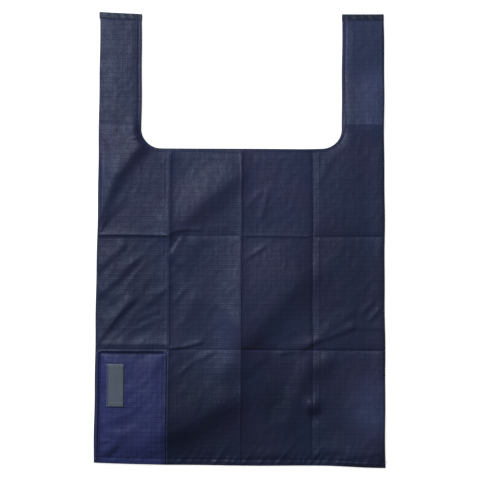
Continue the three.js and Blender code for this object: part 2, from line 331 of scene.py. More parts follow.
def neck_puckers(x, y):
    """Puckers across the hem, strong round the neck's corners and faint along its bottom."""
    edge = from_neck(x, y)
    turn = np.arctan2(neck_bottom + neck_radius - y, np.abs(x) - neck_half + neck_radius)
    corner = eased(turn / 0.3) * eased((math.pi / 2 - turn) / 0.3)
    strength = np.where(x < 0, 0.55, 0.3) * corner * eased(edge / 1.5) * np.exp(-edge / 4.5)
    round_corner = strength * np.sin(turn * 42 + 1.5 * np.sin(turn * 11))
    along_hem = 0.12 * np.sin(x / 1.7) * np.sin(x / 7 + 1) * np.exp(-edge / 4)
    return round_corner + along_hem * (np.abs(x) < neck_half - neck_radius)


def stitch_grooves(x, y):
    """Stitches sink into the cloth along their line."""
    bottom = 0.2 * hump(y + half_length - bottom_stitch, 1.2)
    top = 0.4 * hump(half_length - top_stitch - y, 0.9)
    neck = 0.28 * hump(from_neck(x, y) - neck_stitch, 0.8)
    return -np.maximum(np.maximum(bottom, top), neck)


def seam_bulk(x, y):
    """The plies turned inside the ends and the gusset seams show through as low steps."""
    turned_step, gusset_step = 0.12, 0.14
    from_bottom = y + half_length
    from_top = half_length - y
    turned = eased((bottom_stitch - from_bottom) / 2) + eased((top_stitch - from_top) / 2)
    seam = half_width - gusset_depth
    gusset = hump(x + seam, 1.1) + hump(x - seam, 1.1)
    below_neck = eased(from_neck(x, y) / 6) * (y < neck_bottom)
    return turned_step * turned + gusset_step * gusset * below_neck


def face_height(x, y):
    """How far the front face stands above its level where it is pressed flat. Each kind of fold
    fades out towards the edges over its own width. The cloth at the lower left is most crumpled."""
    edge = from_edge(x, y)
    sides = np.where(x > 0, 7 * (half_width - x), half_width + x)
    outer = np.minimum(half_length - np.abs(y), sides)
    beside_neck = 0.55 + 0.45 * eased(from_neck(x, y) / 14)
    loft = body_loft * eased(outer / 22) + field_pillows(x, y) * eased(outer / 16)
    folds = sum(soft_fold(x, y, *fold) for fold in soft_folds)
    crumpled = eased((-x - 70) / 50) * eased((25 - y) / 50)
    leaning = 0.3 * crinkles(x, y, size=17, stretch=2.6, lean=48, seed=3.1)
    steep = 0.1 * crinkles(x, y, size=12, stretch=1.4, lean=75, seed=8.7)
    small = 0.035 * crinkles(x, y, size=6, stretch=1.3, lean=20, seed=2.6)
    broad = 0.605 * noise_field(x / 55, y / 40, 5.3)
    return (
        loft * beside_neck
        + creases(x, y) * eased(edge / 3.5)
        + (folds + knob(x, y) + raised_lines(x, y)) * eased(edge / 5)
        + (leaning * (0.12 + 0.88 * crumpled) + steep + small + broad) * eased(edge / 9)
        + seam_puckers(x, y)
        + band_puckers(x, y)
        + neck_puckers(x, y)
        + stitch_grooves(x, y)
        + seam_bulk(x, y)
    )


def straight(start, end, step):
    """Points from start up to, and without, end."""
    count = max(1, round(math.dist(start, end) / step))
    return [
        (start[0] + (end[0] - start[0]) * i / count, start[1] + (end[1] - start[1]) * i / count)
        for i in range(count)
    ]


def neck_run(inset, step, stop):
    """The neck edge from the top of the right handle as far as x = stop, drawn inset into the
    cloth, with the way off the cloth at each point."""
    radius = neck_radius + inset
    centre_x = neck_half - neck_radius
    centre_y = neck_bottom + neck_radius
    side = centre_x + radius
    points = straight((side, half_length - hem_radius), (side, centre_y), step)
    ways = [(-1, 0)] * len(points)
    turns = max(2, round(radius * math.pi / 2 / step))
    for i in range(turns + 1):
        angle = -math.pi / 2 * i / turns
        points.append((centre_x + radius * math.cos(angle), centre_y + radius * math.sin(angle)))
        ways.append((-math.cos(angle), -math.sin(angle)))
    flat = straight((centre_x, centre_y - radius), (stop, centre_y - radius), step)[1:]
    return points + flat, ways + [(0, 1)] * len(flat)


def mirrored_run(points, ways):
    return [(-x, y) for x, y in points[::-1]], [(-x, y) for x, y in ways[::-1]]


def fine_lines(low, high, step, marks):
    """Grid lines a step apart, closer beside each mark."""
    beside_mark = (-2.1, -1.2, -0.55, 0, 0.55, 1.2, 2.1)
    clear_of_mark, clear_of_end = 2.6, 0.4
    beside = [mark + offset for mark in marks for offset in beside_mark]
    count = round((high - low) / step)
    spread = [low + (high - low) * i / count for i in range(1, count)]
    kept = [v for v in spread if all(abs(v - mark) > clear_of_mark for mark in marks)]
    lines = sorted(kept + beside)
    return np.array([v for v in lines if low + clear_of_end < v < high - clear_of_end])


def triangles(outline, inner):
    """Triangles over a flat cut, whose outline's points come first."""
    points = [Vector(p) for p in outline] + [Vector(p) for p in inner]
    result = delaunay_2d_cdt(points, [], [list(range(len(outline)))], 1, 1e-4)
    source = [ids[0] for ids in result[3]]
    return [tuple(source[i] for i in face) for face in result[2]]


class Cloth:
    """The points and faces of one piece of cloth while it is cut, folded and hemmed."""

    def __init__(self):
        self.points = []
        self.faces = []

    def add(self, points):
        first = len(self.points)
        self.points += [tuple(p) for p in points]
        return list(range(first, len(self.points)))

    def lay(self, outline, inner, level):
        """Lays a flat cut at a level, which may be a number or a height for each point."""
        flat = np.array(list(outline) + list(inner), float)
        ids = self.add(np.column_stack([flat, np.broadcast_to(level, len(flat))]))
        self.faces += [tuple(ids[i] for i in face) for face in triangles(outline, inner)]
        return ids

    def join(self, first, second):
        for i in range(len(first) - 1):
            self.faces.append((first[i], second[i], second[i + 1], first[i + 1]))

    def fold(self, edge, ways, radius, turn, width=0, onto=None):
        """Folds the cloth over along an edge: down where turn is -1, up where it is 1. The turned
        strip is as wide as width, or the fold ends on the points that onto names."""
        base = np.array([self.points[i] for i in edge])
        ways = np.array(ways, float)
        last = edge
        degrees = [40, 80, 120, 160] if onto else [45, 90, 135, 180]
        for angle in np.radians(degrees):
            out = radius * math.sin(angle)
            rise = turn * radius * (1 - math.cos(angle))
            ring = np.column_stack([base[:, :2] + ways * out, base[:, 2] + rise])
            made = self.add(ring)
            self.join(last, made)
            last = made
        if onto:
            self.join(last, onto)
            return
        inward = np.column_stack([base[:, :2] - ways * width, base[:, 2] + turn * 2 * radius])
        self.join(last, self.add(inward))


def folded_panel(height, step, marks_x, marks_y):
    """One body panel, face up: the face, a half gusset under each side, hems and turned ends."""
    cloth = Cloth()
    side = half_width - side_fold_radius
    end = half_length - hem_radius
    inner = neck_half + hem_radius
    edge_step = 2.0
    lines_beside_neck = (1.0, 2.0, 3.1, 3.9, 4.4, 4.9, 5.7, 6.7)
    grid_from_neck = 7.6
    neck_right, ways_right = neck_run(hem_radius, edge_step, 0)
    neck_left, ways_left = mirrored_run(neck_right, ways_right)
    neck = neck_right + [(0, neck_bottom - hem_radius)] + neck_left
    neck_ways = ways_right + [(0, 1)] + ways_left
    runs = [
        (straight((-side, -end), (side, -end), edge_step), (0, -1)),
        (straight((side, -end), (side, end), edge_step), (1, 0)),
        (straight((side, end), (inner, end), edge_step), (0, 1)),
        (neck, None),
        (straight((-inner, end), (-side, end), edge_step)[1:], (0, 1)),
        (straight((-side, end), (-side, -end), edge_step), (-1, 0)),
    ]
    outline = [p for points, _ in runs for p in points]
    xs = fine_lines(-side, side, step, marks_x)
    ys = fine_lines(-end, end, step, marks_y)
    grid = np.array([(x, y) for y in ys for x in xs])
    grid = grid[from_neck(grid[:, 0], grid[:, 1]) > grid_from_neck]
    beside_neck = [
        p
        for inset in lines_beside_neck
        for right, _ in [neck_run(inset, edge_step, 0)]
        for p in right[1:] + [(-x, y) for x, y in right[1:]]
    ]
    inside = np.vstack([grid, beside_neck])
    flat = np.vstack([outline, inside])
    face = cloth.lay(outline, inside, face_level + height(flat[:, 0], flat[:, 1]))
    starts = np.cumsum([0] + [len(points) for points, _ in runs])
    ring = face[: len(outline)] + face[:1]
    for (points, way), start in zip(runs, starts):
        edge = ring[start : start + len(points) + 1]
        if way in ((0, -1), (0, 1)):
            cloth.fold(edge, [way] * len(edge), hem_radius, -1, seam_allowance)
        elif way is None:
            cloth.fold(edge[:-1], neck_ways, hem_radius, -1, neck_hem)

    inner_edge = half_width - gusset_depth - gusset_allowance
    raw_step, gusset_step, gusset_margin = 6, 8, 4
    for sign in (1, -1):
        stations = straight((side, -end), (side, end), edge_step) + [(side, end)]
        top = straight((side, end), (inner, end), raw_step)[1:]
        neck_part, neck_part_ways = neck_run(hem_radius, edge_step, inner_edge)
        raw = straight((inner_edge, neck_bottom - hem_radius), (inner_edge, -end), raw_step)
        bottom = straight((inner_edge, -end), (side, -end), raw_step)
        cut = stations + top + neck_part + raw + bottom
        lines_x = np.arange(inner_edge + raw_step, side - gusset_margin, gusset_step)
        lines_y = np.arange(raw_step - end, end - gusset_margin, gusset_step)
        fill = np.array([(x, y) for y in lines_y for x in lines_x])
        fill = fill[from_neck(fill[:, 0], fill[:, 1]) > gusset_margin]
        if sign < 0:
            cut = [(-x, y) for x, y in cut][::-1]
            fill = fill * (-1, 1)
            neck_part_ways = [(-x, y) for x, y in neck_part_ways]
        ids = cloth.lay(cut, fill, gusset_level)[: len(cut)]
        ids = ids if sign > 0 else ids[::-1]
        first_top = len(stations) - 1
        first_neck = len(stations) + len(top)
        first_raw = first_neck + len(neck_part)
        first_bottom = first_raw + len(raw)
        top_edge = ids[first_top : first_neck + 1]
        bottom_edge = ids[first_bottom:] + ids[:1]
        cloth.fold(top_edge, [(0, 1)] * len(top_edge), hem_radius, 1, seam_allowance)
        cloth.fold(bottom_edge, [(0, -1)] * len(bottom_edge), hem_radius, 1, seam_allowance)
        cloth.fold(ids[first_neck:first_raw], neck_part_ways, hem_radius, 1, neck_hem)
        side_run = 1 if sign > 0 else 5
        side_edge = ring[starts[side_run] : starts[side_run + 1] + 1]
        onto = ids[: len(stations)] if sign > 0 else ids[: len(stations)][::-1]
        cloth.fold(side_edge, [(sign, 0)] * len(side_edge), side_fold_radius, -1, onto=onto)
    return cloth


def cloth_object(name, cloth, material, face_up=True):
    """Makes the mesh of a piece of cloth, as it lies, with its outer side outwards."""
    flat = np.array(cloth.points)
    x, y = laid_out(flat[:, 0], flat[:, 1])
    mesh = bpy.data.meshes.new(name)
    mesh.from_pydata(np.column_stack([x, y, flat[:, 2]]) * MM, [], cloth.faces)
    shape = bmesh.new()
    shape.from_mesh(mesh)
    bmesh.ops.recalc_face_normals(shape, faces=shape.faces)
    shape.faces.ensure_lookup_table()
    if (shape.faces[0].normal.z > 0) != face_up:
        bmesh.ops.reverse_faces(shape, faces=shape.faces)
    shape.to_mesh(mesh)
    shape.free()
    mesh.shade_smooth()
    mesh.materials.append(material)
    made = bpy.data.objects.new(name, mesh)
    bpy.context.scene.collection.objects.link(made)
    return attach(made, "root")


def srgb(*levels):
    """A colour written as levels from 0 to 255, for a shader."""
    shares = [v / 255 for v in levels]
    return (*[s / 12.92 if s <= 0.04045 else ((s + 0.055) / 1.055) ** 2.4 for s in shares], 1)


class Finish:
    """A material and the short calls that wire up its texture."""

    def __init__(self, name):
        self.material = bpy.data.materials.new(name)
        self.material.use_nodes = True
        self.nodes = self.material.node_tree.nodes
        self.links = self.material.node_tree.links
        self.shader = self.nodes["Principled BSDF"]
        place = self.nodes.new("ShaderNodeTexCoord")
        self.place = place.outputs["Object"]
        axes = self.nodes.new("ShaderNodeSeparateXYZ")
        self.links.new(self.place, axes.inputs[0])
        self.x, self.y, self.z = axes.outputs

    def feed(self, socket, value):
        """Puts a number, a colour or another node's output into a socket."""
        if isinstance(value, bpy.types.NodeSocket):
            self.links.new(value, socket)
        else:
            socket.default_value = value

    def maths(self, operation, first, second=0.0):
        node = self.nodes.new("ShaderNodeMath")
        node.operation = operation
        self.feed(node.inputs[0], first)
        self.feed(node.inputs[1], second)
        return node.outputs[0]

    def spread(self, value, low, high, to_low=0.0, to_high=1.0):
        """A value from low to high, eased to the range from to_low to to_high."""
        node = self.nodes.new("ShaderNodeMapRange")
        node.interpolation_type = "SMOOTHSTEP"
        for socket, number in zip(node.inputs[:5], (value, low, high, to_low, to_high)):
            self.feed(socket, number)
        return node.outputs[0]

    def distance(self, x, y):
        """Distance on the table from a place given in millimetres."""
        node = self.nodes.new("ShaderNodeVectorMath")
        node.operation = "DISTANCE"
        node.inputs[1].default_value = (x * MM, y * MM, 0)
        self.links.new(self.place, node.inputs[0])
        return node.outputs["Value"]

    def cloudy(self, scale, detail=3.0, stretch=(1, 1, 1), turn=0.0):
        """Soft noise, stretched along an axis that may be turned in the plane of the cloth."""
        mapping = self.nodes.new("ShaderNodeMapping")
        mapping.inputs["Scale"].default_value = stretch
        mapping.inputs["Rotation"].default_value = (0, 0, math.radians(turn))
        self.links.new(self.place, mapping.inputs[0])
        node = self.nodes.new("ShaderNodeTexNoise")
        node.inputs["Scale"].default_value = scale
        node.inputs["Detail"].default_value = detail
        self.links.new(mapping.outputs[0], node.inputs["Vector"])
        return node.outputs["Fac"]

    def blend(self, share, first, second, kind="MIX"):
        """The first colour with a share of the second mixed into it, or laid over it."""
        node = self.nodes.new("ShaderNodeMix")
        node.data_type = "RGBA"
        node.blend_type = kind
        self.feed(node.inputs["Factor"], share)
        self.feed(node.inputs[6], first)
        self.feed(node.inputs[7], second)
        return node.outputs[2]

    def bumps(self, height):
        """Bump from a height in millimetres."""
        node = self.nodes.new("ShaderNodeBump")
        node.inputs["Distance"].default_value = MM
        self.links.new(height, node.inputs["Height"])
        self.links.new(node.outputs[0], self.shader.inputs["Normal"])


def tinted(finish, cloth, share, tint):
    """The cloth's colour, duller or paler by a tint where the share is full."""
    return finish.blend(share, cloth, (*tint, 1), "MULTIPLY")


def paint_light_and_shade(finish, cloth, places):
    """Cloth with places of painted shade and painted highlight, each by its middle, its reach in
    full and in all, and its tint.
    """
    for (at_x, at_y), near, far, tint in places:
        share = finish.spread(finish.distance(at_x, at_y), near * MM, far * MM, 1.0, 0.0)
        cloth = tinted(finish, cloth, share, tint)
    return cloth


def paint_lines(finish, cloth, lines):
    """Cloth with painted lines of shade and highlight that run up, across and down, each by its
    left, right, top, reach, tint.
    """
    for left, right, top, reach, tint in lines:
        off_middle = finish.maths("SUBTRACT", finish.x, (left + right) / 2 * MM)
        off_middle = finish.maths("ABSOLUTE", off_middle)
        beside = finish.maths("SUBTRACT", off_middle, (right - left) / 2 * MM)
        above = finish.maths("SUBTRACT", finish.y, top * MM)
        off_line = finish.maths("ABSOLUTE", finish.maths("MAXIMUM", beside, above))
        share = finish.spread(off_line, 0.3 * MM, reach * MM, 1.0, 0.0)
        cloth = tinted(finish, cloth, share, tint)
    return cloth


def ripstop(name, colours, seam_colour, across_tone, down_tone, painted_light_and_shade, lines):
    """Thin nylon with a net of thicker yarns, in patches of two colours, its top bands a shade
    duller. The tones say how dark the yarns that run across and down show."""
    finish = Finish(name)
    pitch, yarn, thread = 6.45 * MM, 1.0 * MM, 0.55 * MM

    def yarns(axis):
        part = finish.maths("FRACT", finish.maths("MULTIPLY", axis, 1 / pitch))
        off = finish.maths("ABSOLUTE", finish.maths("SUBTRACT", part, 0.5))
        return finish.spread(off, 0.5 - yarn / pitch, 0.5)

    def threads(axis):
        return finish.maths("SINE", finish.maths("MULTIPLY", axis, 2 * math.pi / thread))

    across, down = yarns(finish.y), yarns(finish.x)
    weave = finish.maths("MULTIPLY", threads(finish.x), threads(finish.y))
    mottle = finish.cloudy(160, 4.0, stretch=(1, 0.45, 1), turn=-40)

    patches = finish.spread(finish.cloudy(14, 2.0), 0.35, 0.65)
    cloth = finish.blend(patches, *colours)
    # painted shade and painted highlights laid over the cloth's colour
    cloth = paint_lines(finish, paint_light_and_shade(finish, cloth, painted_light_and_shade), lines)
    band_low, band_high = half_length - 9.4, half_length - 8.2
    cloth = finish.blend(finish.spread(finish.y, band_low * MM, band_high * MM), cloth, seam_colour)
    yarn_tint, mottle_tint = (0.62, 0.62, 0.66), (0.55, 0.55, 0.6)
    tone = finish.spread(finish.cloudy(30, 2.0), 0.35, 0.65, 0.45 * across_tone, across_tone)
    cloth = tinted(finish, cloth, finish.maths("MULTIPLY", across, tone), yarn_tint)
    cloth = tinted(finish, cloth, finish.maths("MULTIPLY", down, down_tone), yarn_tint)
    cloth = tinted(finish, cloth, finish.spread(mottle, 0.2, 0.8, 0.0, 0.3), mottle_tint)
    finish.feed(finish.shader.inputs["Base Color"], cloth)
    finish.feed(finish.shader.inputs["Roughness"], finish.spread(mottle, 0.2, 0.8, 0.36, 0.5))
    finish.shader.inputs["Specular IOR Level"].default_value = 0.42
    finish.shader.inputs["Specular Tint"].default_value = (0.76, 0.84, 1, 1)
    finish.shader.inputs["Sheen Weight"].default_value = 0.16
    finish.shader.inputs["Sheen Roughness"].default_value = 0.3
    finish.shader.inputs["Sheen Tint"].default_value = srgb(150, 160, 205)

    raised = [(across, 0.065), (down, 0.04), (weave, 0.012), (mottle, 0.17)]
    across_height, down_height, weave_height, crackle = [
        finish.maths("MULTIPLY", texture, height) for texture, height in raised
    ]
    net = finish.maths("ADD", across_height, down_height)
    finish.bumps(finish.maths("ADD", finish.maths("ADD", net, weave_height), crackle))
    return finish.material


# Painted shade and painted highlights on the body cloth: duller places stand in for the shade on
# slopes that face away from the lamps and in the dent below the knob, paler ones for the sheen
# where the cloth faces them. A pale line beside the pocket's edge is a painted highlight on the
# crease ridge there.
painted_light_and_shade = [
    ((-60, -250), 26, 100, (0.5, 0.53, 0.58)),
    ((-74, -266), 5, 32, (0.66, 0.69, 0.74)),
    ((-78, -194), 8, 40, (0.8, 0.82, 0.86)),
    ((-20, -124), 8, 30, (1.3, 1.28, 1.24)),
    ((-20, -162), 8, 28, (1.2, 1.18, 1.15)),
    ((42, -218), 8, 36, (0.6, 0.61, 0.65)),
    ((46, 66), 25, 70, (1.14, 1.12, 1.12)),
    ((107, -177), 6, 24, (0.7, 0.72, 0.76)),
    ((-168, 200), 60, 140, (0.91, 0.92, 0.94)),
    ((166, 256), 30, 80, (1.45, 1.42, 1.38)),
    ((50, -232), 45, 115, (0.7, 0.72, 0.76)),
    ((135, -60), 30, 120, (0.84, 0.85, 0.87)),
    ((-172, -60), 25, 95, (0.78, 0.8, 0.82)),
    ((180, -222), 16, 58, (1.6, 1.58, 1.5)),
    ((186, 176), 22, 62, (1.7, 1.67, 1.6)),
    ((92, -231), 3, 10, (0.45, 0.47, 0.52)),
    ((101, -230), 3, 10, (0.5, 0.52, 0.57)),
]
# painted highlight on the crease ridge beside the pocket's edge
painted_highlight_beside_pocket = (-230, -97, -156, 3.4, (2.1, 2.05, 1.85))
body_cloth = ripstop(
    "body_ripstop",
    colours=(srgb(36, 45, 73), srgb(41, 43, 72)),
    seam_colour=srgb(37, 44, 62),
    across_tone=0.38,
    down_tone=0.1,
    painted_light_and_shade=painted_light_and_shade,
    lines=[painted_highlight_beside_pocket],
)
crease_marks = [-column, 0, column]
gusset_marks = [gusset_depth - half_width, half_width - gusset_depth]
across_marks = [row - 0.5, 0, -row, bottom_stitch - half_length, half_length - top_stitch]
right_edge_mark = half_width - 2.2
front_panel = folded_panel(
    face_height,
    1.7,
    [*crease_marks, *gusset_marks, right_edge_mark],
    across_marks,
)
front_cloth = cloth_object("front_cloth", front_panel, body_cloth)
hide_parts("front_panel")


# Back panel: the same cut of the same cloth, turned over, with its face on the table. Its creases
# are pressed the other way into the bag, so the weight of the cloth lies on the fields between.
back_low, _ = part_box("back_panel")
back_face_level = back_low.z / MM + cloth_half


def back_height(x, y):
    """How far the back's face is drawn in from the surface that the bag lies on."""
    edge = from_edge(x, y)
    drawn_in = 0.3 * np.abs(creases(x, y)) + 0.25 * (1 + crinkles(x, y, 19, 2.4, 48, 6.2)) / 2
    return -np.clip(drawn_in, 0, 0.8) * eased(edge / 5)


back_panel = folded_panel(back_height, 3.6, crease_marks, across_marks)
turned_over = np.array(back_panel.points)
turned_over[:, 2] = back_face_level + face_level - turned_over[:, 2]
back_panel.points = turned_over
back_cloth = cloth_object("back_cloth", back_panel, body_cloth, face_up=False)
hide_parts("back_panel")


# Stow pocket: a patch of the same kind of cloth in a bluer shade, that the bag packs into. Its
# sides and its rounded upper edge are turned under and sewn to the front, and its lower edge runs
# out in the bottom seam.
pocket_low, pocket_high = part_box("stow_pocket")
pocket_left = pocket_low.x / MM
pocket_right = pocket_high.x / MM
pocket_top = pocket_high.y / MM
pocket_bottom = -half_length + 0.4
pocket_corner = 6
pocket_hem = 4.6
pocket_stitch = 3.2
pocket_gap = 1.0  # above the front's face
pocket_folds = [
    ([(-174, -291), (-166, -280), (-156, -266)], 1.3, 9, 5),
    ([(-186, -276), (-174, -272)], 0.7, 3, 1.6),
    ([(-150, -284), (-136, -258)], 0.5, 8, 7),
    ([(-132, -284), (-120, -262)], 0.4, 7, 6),
]


def from_pocket_edge(x, y):
    """Distance inside the pocket's turned edge, with its rounded upper corners."""
    middle = (pocket_left + pocket_right) / 2
    half = (pocket_right - pocket_left) / 2
    over = np.abs(x - middle) - (half - pocket_corner)
    up = y - (pocket_top - pocket_corner)
    corner = (over > 0) & (up > 0)
    return pocket_corner - np.where(corner, np.hypot(over, up), np.maximum(over, up))


def pocket_height(x, y):
    """Height above the table: the front under the pocket, and the pocket's own puff and folds, with
    its turned hem standing up and its stitches sunk in."""
    inside = from_pocket_edge(x, y)
    edge = np.minimum(inside, y + half_length - bottom_stitch)
    puff = 1.1 * eased(edge / 20)
    folds = sum(soft_fold(x, y, *fold) for fold in pocket_folds)
    crinkle = 0.07 * crinkles(x, y, size=13, stretch=1.5, lean=70, seed=11.4)
    broad = 0.9 * noise_field(x / 26, y / 60, 2.2)
    hem = 0.45 * eased((pocket_hem + 0.4 - inside) / 0.8)
    stitched = 1.5 * hump(inside - pocket_stitch, 1.2)
    own = puff + (folds + crinkle + broad) * eased(edge / 6) + hem - stitched
    return face_level + face_height(x, y) + pocket_gap + own


def pocket_edge(inset, step):
    """The pocket's turned edge from its lower right end, round by the top, to its lower left."""
    right, left, top = pocket_right - inset, pocket_left + inset, pocket_top - inset
    radius = pocket_corner - inset
    turns = 6
    points = straight((right, pocket_bottom), (right, top - radius), step)
    ways = [(1, 0)] * len(points)
    for centre_x, first in ((right - radius, 0), (left + radius, math.pi / 2)):
        for i in range(turns + 1):
            angle = first + math.pi / 2 * i / turns
            way = (math.cos(angle), math.sin(angle))
            points.append((centre_x + radius * way[0], top - radius + radius * way[1]))
            ways.append(way)
        if first == 0:
            run = straight((right - radius, top), (left + radius, top), step)[1:]
            points += run
            ways += [(0, 1)] * len(run)
    run = straight((left, top - radius), (left, pocket_bottom), step)[1:] + [(left, pocket_bottom)]
    return points + run, ways + [(-1, 0)] * len(run)


def sewn_patch():
    """The patch, cut, laid on the front and turned under along its edge."""
    edge_step, grid_step, grid_from_edge = 1.6, 1.4, 0.9
    turned, ways = pocket_edge(hem_radius, edge_step)
    outline = turned + straight(turned[-1], turned[0], edge_step)[1:]
    marks_x = [pocket_left + pocket_stitch, pocket_right - pocket_stitch]
    marks_y = [bottom_stitch - half_length, pocket_top - pocket_stitch]
    xs = fine_lines(pocket_left, pocket_right, grid_step, marks_x)
    ys = fine_lines(pocket_bottom, pocket_top, grid_step, marks_y)
    grid = np.array([(x, y) for y in ys for x in xs])
    grid = grid[from_pocket_edge(grid[:, 0], grid[:, 1]) > grid_from_edge]
    flat = np.vstack([outline, grid])
    patch = Cloth()
    ids = patch.lay(outline, grid, pocket_height(flat[:, 0], flat[:, 1]))
    patch.fold(ids[: len(turned)], ways, 0.8 * hem_radius, -1, pocket_hem)
    return patch


# Painted shade on the pocket: along its upper edge, which a wide ring reaches, and along its fold
# and its line of stitches.
painted_shade_upper_edge = ((-145, 60), 214, 224, (0.34, 0.36, 0.42))
pocket_cloth = ripstop(
    "pocket_ripstop",
    colours=(srgb(46, 52, 97), srgb(44, 51, 100)),
    seam_colour=srgb(44, 51, 90),
    across_tone=0.8,
    down_tone=0.6,
    painted_light_and_shade=[painted_shade_upper_edge],
    lines=[
        # painted shade along the pocket's fold and its line of stitches
        (pocket_left + inset, pocket_right - inset, pocket_top - inset, 1.7, (0.5, 0.5, 0.56))
        for inset in (0.3, pocket_stitch)
    ],
)
pocket = cloth_object("stow_pocket_cloth", sewn_patch(), pocket_cloth)
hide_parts("stow_pocket")


# Woven label: a short piece of slate grey tape on the pocket, bare. Its two ends are folded under
# and sewn down, so they stand a little higher than its middle.
label_low, label_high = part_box("woven_label")
label_left, label_right = label_low.x / MM, label_high.x / MM
label_bottom, label_top = label_low.y / MM, label_high.y / MM
label_thickness = 0.4
label_gap = 0.3  # above the pocket's cloth
label_turn = 6
label_stitch = 2.0


def label_height(x, y):
    """Height of the label's upper side. The tape is stiffer than the pocket, so it bridges the
    small folds under it, and its stitches draw it in near its ends."""
    end = np.minimum(y - label_bottom, label_top - y)
    ends = 0.3 * eased((label_turn - end) / 1.5) - 0.25 * hump(end - label_stitch, 0.6)
    under = [pocket_height(x + d, y + e) for d in (-5, 0, 5) for e in (-6, 0, 6)]
    return np.mean(under, axis=0) + label_gap + label_thickness + ends


def label_weave():
    """Tape woven with fine ribs across it, darker at its two selvedges and paler at its folded
    ends, a painted highlight.
    """
    finish = Finish("label_tape")
    rib, wale = 0.9 * MM, 0.7 * MM

    def off_middle(axis, low, high):
        off = finish.maths("SUBTRACT", axis, (low + high) / 2 * MM)
        return finish.maths("ABSOLUTE", off)

    def ridges(axis, pitch):
        return finish.maths("SINE", finish.maths("MULTIPLY", axis, 2 * math.pi / pitch))

    ribs, wales = ridges(finish.y, rib), ridges(finish.x, wale)
    fuzz = finish.cloudy(900, 3.0)
    cloud = finish.cloudy(60, 2.0)
    selvedge = finish.spread(off_middle(finish.x, label_left, label_right), 9.0 * MM, 10.4 * MM)
    ends = finish.spread(off_middle(finish.y, label_bottom, label_top), 25.2 * MM, 26.4 * MM)
    tone = finish.blend(cloud, srgb(86, 95, 111), srgb(94, 103, 117))
    tone = finish.blend(selvedge, tone, srgb(68, 76, 98))
    # painted highlight on the folded ends of the tape
    tone = finish.blend(finish.maths("MULTIPLY", ends, 0.5), tone, srgb(112, 122, 134))
    grain = finish.spread(finish.maths("ADD", ribs, wales), -1.6, 1.6, 0.0, 0.35)
    tone = tinted(finish, tone, grain, (0.6, 0.6, 0.62))
    finish.feed(finish.shader.inputs["Base Color"], tone)
    finish.feed(finish.shader.inputs["Roughness"], finish.spread(fuzz, 0.3, 0.7, 0.7, 0.9))
    finish.shader.inputs["Specular IOR Level"].default_value = 0.25
    finish.shader.inputs["Sheen Weight"].default_value = 0.15
    raised_ribs = finish.maths("MULTIPLY", ribs, 0.05)
    height = finish.maths("ADD", raised_ribs, finish.maths("MULTIPLY", wales, 0.03))
    finish.bumps(finish.maths("ADD", height, finish.maths("MULTIPLY", fuzz, 0.06)))
    return finish.material


def tape_label():
    """A closed strip: its upper side, its rounded rim and its underside."""
    xs = np.linspace(label_left, label_right, 23)
    ys = np.linspace(label_bottom, label_top, 57)
    grid_x, grid_y = np.meshgrid(xs, ys)
    flat_x, flat_y = grid_x.ravel(), grid_y.ravel()
    top = label_height(flat_x, flat_y)
    rim_in = np.minimum(
        np.minimum(flat_x - label_left, label_right - flat_x),
        np.minimum(flat_y - label_bottom, label_top - flat_y),
    )
    rounding, at_rim = 0.12, 0.1
    top -= rounding * (rim_in < at_rim)
    tape = Cloth()
    upper = tape.add(np.column_stack([flat_x, flat_y, top]))
    lower = tape.add(np.column_stack([flat_x, flat_y, top - label_thickness]))
    wide, tall = len(xs), len(ys)
    for ids in (upper, lower):
        for j in range(tall - 1):
            tape.join(ids[j * wide : (j + 1) * wide], ids[(j + 1) * wide : (j + 2) * wide])
    rim = list(range(wide)) + [j * wide + wide - 1 for j in range(1, tall)]
    rim += [(tall - 1) * wide + i for i in range(wide - 2, -1, -1)]
    rim += [j * wide for j in range(tall - 2, -1, -1)]
    tape.join([upper[i] for i in rim], [lower[i] for i in rim])
    return tape


label = cloth_object("woven_label_tape", tape_label(), label_weave())
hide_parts("woven_label")


# Sewing thread: lockstitch in dark navy polyester. Each stitch shows as a short twisted length that
# dives into the cloth at both ends, along the seams, the neck hem, the pocket and the label.
thread_radius = 0.15
stitch_length = 2.5
stitch_gap = 0.5


def thread_finish():
    """Twisted plies, by stripes that lean across the thread, with a little fuzz."""
    finish = Finish("navy_thread")
    twist = 5200
    along = finish.maths("ADD", finish.x, finish.y)
    plies = finish.maths("SINE", finish.maths("MULTIPLY", along, twist))
    fuzz = finish.cloudy(1400, 2.0)
    tone = finish.blend(finish.spread(plies, -1, 1), srgb(20, 24, 40), srgb(30, 34, 56))
    finish.feed(finish.shader.inputs["Base Color"], tone)
    finish.feed(finish.shader.inputs["Roughness"], finish.spread(fuzz, 0.3, 0.7, 0.45, 0.65))
    finish.shader.inputs["Specular IOR Level"].default_value = 0.2
    finish.bumps(finish.maths("MULTIPLY", plies, 0.03))
    return finish.material


navy_thread = thread_finish()


def along_path(points, spacing):
    """The starts and the ends of stitches, a spacing apart along a line of points."""
    points = np.array(points, float)
    steps = np.hypot(*np.diff(points, axis=0).T)
    travelled = np.concatenate([[0], np.cumsum(steps)])
    count = int(travelled[-1] / spacing)
    at = (np.arange(count) + 0.5) * travelled[-1] / count
    return [
        np.column_stack([np.interp(at + d, travelled, points[:, k]) for k in (0, 1)])
        for d in (-stitch_length / 2, stitch_length / 2)
    ]


